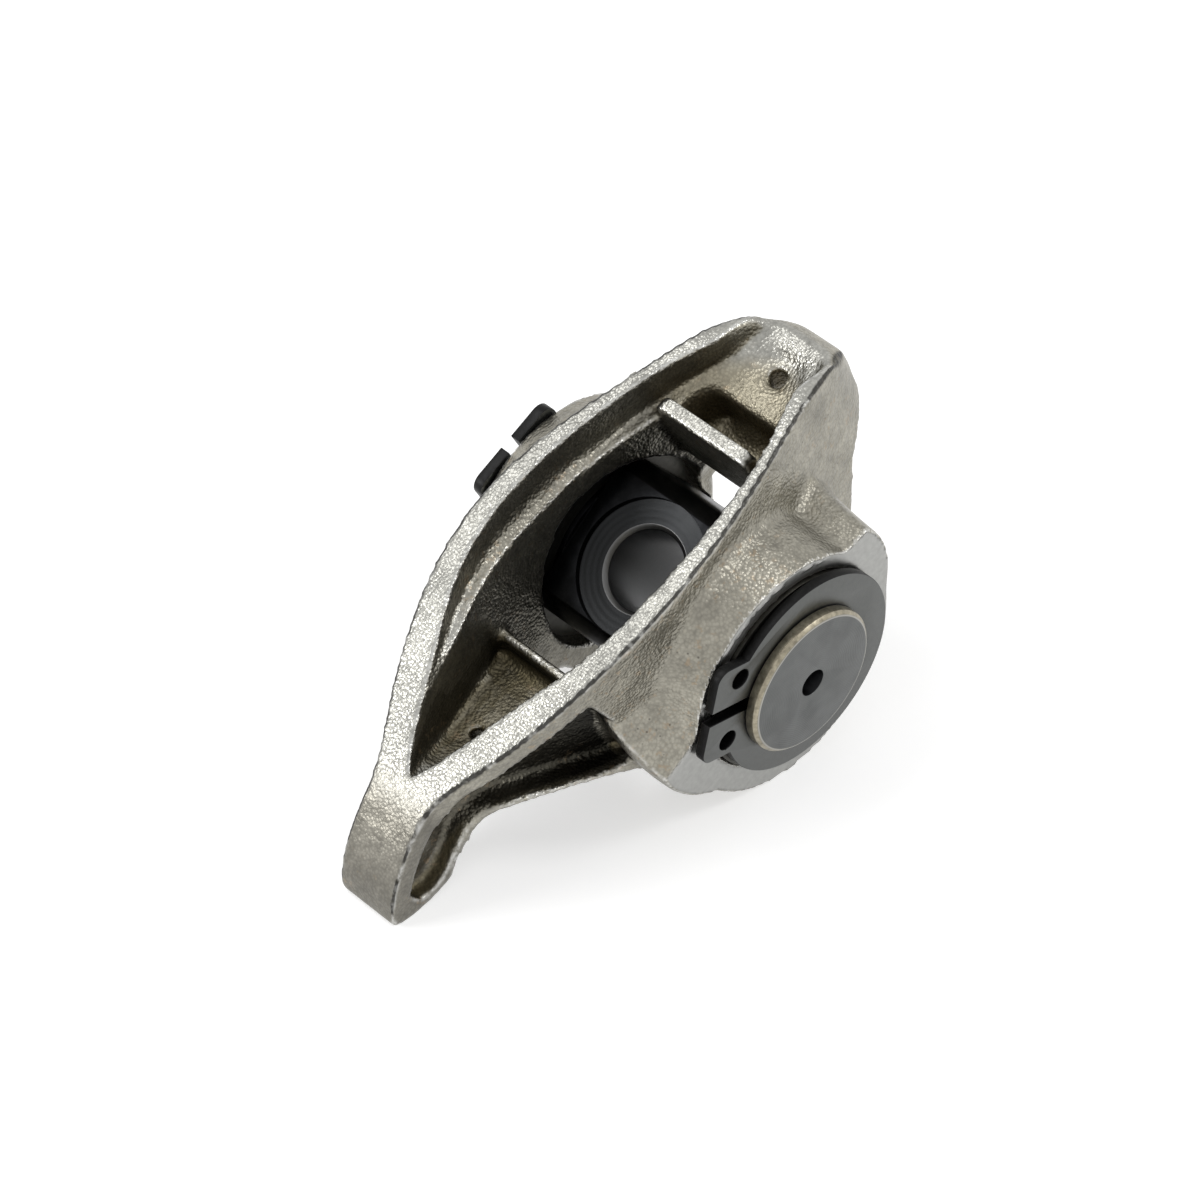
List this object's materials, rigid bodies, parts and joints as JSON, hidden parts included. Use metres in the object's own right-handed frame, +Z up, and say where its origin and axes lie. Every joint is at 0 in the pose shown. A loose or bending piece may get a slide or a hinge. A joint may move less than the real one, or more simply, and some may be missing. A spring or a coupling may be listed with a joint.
{
  "type": "rocker arm",
  "caption": "Cast engine rocker arm: open boat-shaped body with a valve pad, a pushrod socket and a bolt-down trunnion turning in two needle bearings under snap rings.",
  "frame": {"origin": "middle of the trunnion, where its own axis and the bolt's axis cross", "axes": "+Y along the trunnion to the rear bearing, +X level towards the pushrod end, +Z up, with the arm at rest on its two bosses and the valve tip"},
  "size_m": [0.0643, 0.0382, 0.0375],
  "materials": {
    "cast_steel": "satin as-cast steel, ground at the boss faces",
    "blackened_steel": "black oxide, satin",
    "phosphate_steel": "dark grey phosphate",
    "bearing_steel": "ground",
    "cage_steel": "stamped"
  },
  "bodies": {
    "rocker": {"rocker_body": "cast_steel", "front_bearing_cup": "bearing_steel", "rear_bearing_cup": "bearing_steel"},
    "trunnion": {"trunnion": "blackened_steel", "front_snap_ring": "phosphate_steel", "rear_snap_ring": "phosphate_steel"},
    "front_cage": {"front_bearing_cage": "cage_steel"},
    "front_needle_01": {"front_needle_01": "bearing_steel"},
    "front_needle_02": {"front_needle_02": "bearing_steel"},
    "front_needle_03": {"front_needle_03": "bearing_steel"},
    "front_needle_04": {"front_needle_04": "bearing_steel"},
    "front_needle_05": {"front_needle_05": "bearing_steel"},
    "front_needle_06": {"front_needle_06": "bearing_steel"},
    "front_needle_07": {"front_needle_07": "bearing_steel"},
    "front_needle_08": {"front_needle_08": "bearing_steel"},
    "front_needle_09": {"front_needle_09": "bearing_steel"},
    "front_needle_10": {"front_needle_10": "bearing_steel"},
    "front_needle_11": {"front_needle_11": "bearing_steel"},
    "front_needle_12": {"front_needle_12": "bearing_steel"},
    "front_needle_13": {"front_needle_13": "bearing_steel"},
    "front_needle_14": {"front_needle_14": "bearing_steel"},
    "front_needle_15": {"front_needle_15": "bearing_steel"},
    "front_needle_16": {"front_needle_16": "bearing_steel"},
    "rear_cage": {"rear_bearing_cage": "cage_steel"},
    "rear_needle_01": {"rear_needle_01": "bearing_steel"},
    "rear_needle_02": {"rear_needle_02": "bearing_steel"},
    "rear_needle_03": {"rear_needle_03": "bearing_steel"},
    "rear_needle_04": {"rear_needle_04": "bearing_steel"},
    "rear_needle_05": {"rear_needle_05": "bearing_steel"},
    "rear_needle_06": {"rear_needle_06": "bearing_steel"},
    "rear_needle_07": {"rear_needle_07": "bearing_steel"},
    "rear_needle_08": {"rear_needle_08": "bearing_steel"},
    "rear_needle_09": {"rear_needle_09": "bearing_steel"},
    "rear_needle_10": {"rear_needle_10": "bearing_steel"},
    "rear_needle_11": {"rear_needle_11": "bearing_steel"},
    "rear_needle_12": {"rear_needle_12": "bearing_steel"},
    "rear_needle_13": {"rear_needle_13": "bearing_steel"},
    "rear_needle_14": {"rear_needle_14": "bearing_steel"},
    "rear_needle_15": {"rear_needle_15": "bearing_steel"},
    "rear_needle_16": {"rear_needle_16": "bearing_steel"}
  },
  "joints": [
    {"name": "trunnion_spin", "type": "hinge", "parent": "rocker", "child": "trunnion", "pos_m": [0, 0, 0], "axis": [0, 1, 0], "continuous": true},
    {"name": "front_cage_orbit", "type": "hinge", "parent": "rocker", "child": "front_cage", "pos_m": [0, 0, 0], "axis": [0, 1, 0], "continuous": true},
    {"name": "front_needle_01_roll", "type": "hinge", "parent": "front_cage", "child": "front_needle_01", "pos_m": [0.00694, -0.0126, 0.00573], "axis": [0, 1, 0], "continuous": true},
    {"name": "front_needle_02_roll", "type": "hinge", "parent": "front_cage", "child": "front_needle_02", "pos_m": [0.00422, -0.0126, 0.00795], "axis": [0, 1, 0], "continuous": true},
    {"name": "front_needle_03_roll", "type": "hinge", "parent": "front_cage", "child": "front_needle_03", "pos_m": [0.00086, -0.0126, 0.00896], "axis": [0, 1, 0], "continuous": true},
    {"name": "front_needle_04_roll", "type": "hinge", "parent": "front_cage", "child": "front_needle_04", "pos_m": [-0.00264, -0.0126, 0.0086], "axis": [0, 1, 0], "continuous": true},
    {"name": "front_needle_05_roll", "type": "hinge", "parent": "front_cage", "child": "front_needle_05", "pos_m": [-0.00573, -0.0126, 0.00694], "axis": [0, 1, 0], "continuous": true},
    {"name": "front_needle_06_roll", "type": "hinge", "parent": "front_cage", "child": "front_needle_06", "pos_m": [-0.00795, -0.0126, 0.00422], "axis": [0, 1, 0], "continuous": true},
    {"name": "front_needle_07_roll", "type": "hinge", "parent": "front_cage", "child": "front_needle_07", "pos_m": [-0.00896, -0.0126, 0.00086], "axis": [0, 1, 0], "continuous": true},
    {"name": "front_needle_08_roll", "type": "hinge", "parent": "front_cage", "child": "front_needle_08", "pos_m": [-0.0086, -0.0126, -0.00264], "axis": [0, 1, 0], "continuous": true},
    {"name": "front_needle_09_roll", "type": "hinge", "parent": "front_cage", "child": "front_needle_09", "pos_m": [-0.00694, -0.0126, -0.00573], "axis": [0, 1, 0], "continuous": true},
    {"name": "front_needle_10_roll", "type": "hinge", "parent": "front_cage", "child": "front_needle_10", "pos_m": [-0.00422, -0.0126, -0.00795], "axis": [0, 1, 0], "continuous": true},
    {"name": "front_needle_11_roll", "type": "hinge", "parent": "front_cage", "child": "front_needle_11", "pos_m": [-0.00086, -0.0126, -0.00896], "axis": [0, 1, 0], "continuous": true},
    {"name": "front_needle_12_roll", "type": "hinge", "parent": "front_cage", "child": "front_needle_12", "pos_m": [0.00264, -0.0126, -0.0086], "axis": [0, 1, 0], "continuous": true},
    {"name": "front_needle_13_roll", "type": "hinge", "parent": "front_cage", "child": "front_needle_13", "pos_m": [0.00573, -0.0126, -0.00694], "axis": [0, 1, 0], "continuous": true},
    {"name": "front_needle_14_roll", "type": "hinge", "parent": "front_cage", "child": "front_needle_14", "pos_m": [0.00795, -0.0126, -0.00422], "axis": [0, 1, 0], "continuous": true},
    {"name": "front_needle_15_roll", "type": "hinge", "parent": "front_cage", "child": "front_needle_15", "pos_m": [0.00896, -0.0126, -0.00086], "axis": [0, 1, 0], "continuous": true},
    {"name": "front_needle_16_roll", "type": "hinge", "parent": "front_cage", "child": "front_needle_16", "pos_m": [0.0086, -0.0126, 0.00264], "axis": [0, 1, 0], "continuous": true},
    {"name": "rear_cage_orbit", "type": "hinge", "parent": "rocker", "child": "rear_cage", "pos_m": [0, 0, 0], "axis": [0, 1, 0], "continuous": true},
    {"name": "rear_needle_01_roll", "type": "hinge", "parent": "rear_cage", "child": "rear_needle_01", "pos_m": [0.00694, 0.0126, 0.00573], "axis": [0, 1, 0], "continuous": true},
    {"name": "rear_needle_02_roll", "type": "hinge", "parent": "rear_cage", "child": "rear_needle_02", "pos_m": [0.00422, 0.0126, 0.00795], "axis": [0, 1, 0], "continuous": true},
    {"name": "rear_needle_03_roll", "type": "hinge", "parent": "rear_cage", "child": "rear_needle_03", "pos_m": [0.00086, 0.0126, 0.00896], "axis": [0, 1, 0], "continuous": true},
    {"name": "rear_needle_04_roll", "type": "hinge", "parent": "rear_cage", "child": "rear_needle_04", "pos_m": [-0.00264, 0.0126, 0.0086], "axis": [0, 1, 0], "continuous": true},
    {"name": "rear_needle_05_roll", "type": "hinge", "parent": "rear_cage", "child": "rear_needle_05", "pos_m": [-0.00573, 0.0126, 0.00694], "axis": [0, 1, 0], "continuous": true},
    {"name": "rear_needle_06_roll", "type": "hinge", "parent": "rear_cage", "child": "rear_needle_06", "pos_m": [-0.00795, 0.0126, 0.00422], "axis": [0, 1, 0], "continuous": true},
    {"name": "rear_needle_07_roll", "type": "hinge", "parent": "rear_cage", "child": "rear_needle_07", "pos_m": [-0.00896, 0.0126, 0.00086], "axis": [0, 1, 0], "continuous": true},
    {"name": "rear_needle_08_roll", "type": "hinge", "parent": "rear_cage", "child": "rear_needle_08", "pos_m": [-0.0086, 0.0126, -0.00264], "axis": [0, 1, 0], "continuous": true},
    {"name": "rear_needle_09_roll", "type": "hinge", "parent": "rear_cage", "child": "rear_needle_09", "pos_m": [-0.00694, 0.0126, -0.00573], "axis": [0, 1, 0], "continuous": true},
    {"name": "rear_needle_10_roll", "type": "hinge", "parent": "rear_cage", "child": "rear_needle_10", "pos_m": [-0.00422, 0.0126, -0.00795], "axis": [0, 1, 0], "continuous": true},
    {"name": "rear_needle_11_roll", "type": "hinge", "parent": "rear_cage", "child": "rear_needle_11", "pos_m": [-0.00086, 0.0126, -0.00896], "axis": [0, 1, 0], "continuous": true},
    {"name": "rear_needle_12_roll", "type": "hinge", "parent": "rear_cage", "child": "rear_needle_12", "pos_m": [0.00264, 0.0126, -0.0086], "axis": [0, 1, 0], "continuous": true},
    {"name": "rear_needle_13_roll", "type": "hinge", "parent": "rear_cage", "child": "rear_needle_13", "pos_m": [0.00573, 0.0126, -0.00694], "axis": [0, 1, 0], "continuous": true},
    {"name": "rear_needle_14_roll", "type": "hinge", "parent": "rear_cage", "child": "rear_needle_14", "pos_m": [0.00795, 0.0126, -0.00422], "axis": [0, 1, 0], "continuous": true},
    {"name": "rear_needle_15_roll", "type": "hinge", "parent": "rear_cage", "child": "rear_needle_15", "pos_m": [0.00896, 0.0126, -0.00086], "axis": [0, 1, 0], "continuous": true},
    {"name": "rear_needle_16_roll", "type": "hinge", "parent": "rear_cage", "child": "rear_needle_16", "pos_m": [0.0086, 0.0126, 0.00264], "axis": [0, 1, 0], "continuous": true}
  ],
  "couplings": [
    {"joint": "front_cage_orbit", "follows": "trunnion_spin", "ratio": 0.44444},
    {"joint": "front_needle_01_roll", "follows": "trunnion_spin", "ratio": -4.4444},
    {"joint": "front_needle_02_roll", "follows": "trunnion_spin", "ratio": -4.4444},
    {"joint": "front_needle_03_roll", "follows": "trunnion_spin", "ratio": -4.4444},
    {"joint": "front_needle_04_roll", "follows": "trunnion_spin", "ratio": -4.4444},
    {"joint": "front_needle_05_roll", "follows": "trunnion_spin", "ratio": -4.4444},
    {"joint": "front_needle_06_roll", "follows": "trunnion_spin", "ratio": -4.4444},
    {"joint": "front_needle_07_roll", "follows": "trunnion_spin", "ratio": -4.4444},
    {"joint": "front_needle_08_roll", "follows": "trunnion_spin", "ratio": -4.4444},
    {"joint": "front_needle_09_roll", "follows": "trunnion_spin", "ratio": -4.4444},
    {"joint": "front_needle_10_roll", "follows": "trunnion_spin", "ratio": -4.4444},
    {"joint": "front_needle_11_roll", "follows": "trunnion_spin", "ratio": -4.4444},
    {"joint": "front_needle_12_roll", "follows": "trunnion_spin", "ratio": -4.4444},
    {"joint": "front_needle_13_roll", "follows": "trunnion_spin", "ratio": -4.4444},
    {"joint": "front_needle_14_roll", "follows": "trunnion_spin", "ratio": -4.4444},
    {"joint": "front_needle_15_roll", "follows": "trunnion_spin", "ratio": -4.4444},
    {"joint": "front_needle_16_roll", "follows": "trunnion_spin", "ratio": -4.4444},
    {"joint": "rear_cage_orbit", "follows": "trunnion_spin", "ratio": 0.44444},
    {"joint": "rear_needle_01_roll", "follows": "trunnion_spin", "ratio": -4.4444},
    {"joint": "rear_needle_02_roll", "follows": "trunnion_spin", "ratio": -4.4444},
    {"joint": "rear_needle_03_roll", "follows": "trunnion_spin", "ratio": -4.4444},
    {"joint": "rear_needle_04_roll", "follows": "trunnion_spin", "ratio": -4.4444},
    {"joint": "rear_needle_05_roll", "follows": "trunnion_spin", "ratio": -4.4444},
    {"joint": "rear_needle_06_roll", "follows": "trunnion_spin", "ratio": -4.4444},
    {"joint": "rear_needle_07_roll", "follows": "trunnion_spin", "ratio": -4.4444},
    {"joint": "rear_needle_08_roll", "follows": "trunnion_spin", "ratio": -4.4444},
    {"joint": "rear_needle_09_roll", "follows": "trunnion_spin", "ratio": -4.4444},
    {"joint": "rear_needle_10_roll", "follows": "trunnion_spin", "ratio": -4.4444},
    {"joint": "rear_needle_11_roll", "follows": "trunnion_spin", "ratio": -4.4444},
    {"joint": "rear_needle_12_roll", "follows": "trunnion_spin", "ratio": -4.4444},
    {"joint": "rear_needle_13_roll", "follows": "trunnion_spin", "ratio": -4.4444},
    {"joint": "rear_needle_14_roll", "follows": "trunnion_spin", "ratio": -4.4444},
    {"joint": "rear_needle_15_roll", "follows": "trunnion_spin", "ratio": -4.4444},
    {"joint": "rear_needle_16_roll", "follows": "trunnion_spin", "ratio": -4.4444}
  ]
}
